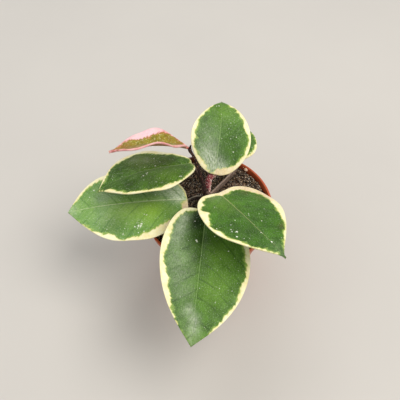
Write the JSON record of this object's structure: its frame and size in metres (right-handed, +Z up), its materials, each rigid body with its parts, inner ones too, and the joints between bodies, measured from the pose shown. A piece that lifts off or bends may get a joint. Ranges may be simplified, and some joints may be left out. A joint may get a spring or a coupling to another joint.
{
  "type": "potted flamingo dream hoya",
  "caption": "Small climbing plant with waxy cream-edged green leaves and a pink young leaf on a short stem, rooted in soil in a moulded terracotta-coloured nursery pot.",
  "frame": {"origin": "centre of the pot's flat base, on the surface that the pot stands on", "axes": "+Z up along the pot's axis, -Y to the plant's front, where its largest leaf points, +X to the right seen from the front"},
  "size_m": [0.1104, 0.146, 0.1148],
  "materials": {
    "pot_plastic": "satin",
    "soil": "matte",
    "stem": "satin",
    "leaf": "satin",
    "young_leaf": "satin"
  },
  "bodies": {
    "root": {"pot": "pot_plastic", "soil": "soil", "stem": "stem", "leaf_left_low": "leaf", "leaf_back_right": "leaf", "leaf_front": "leaf", "leaf_back": "leaf", "leaf_left_high": "leaf", "leaf_right": "leaf", "leaf_young": "young_leaf"}
  },
  "joints": []
}
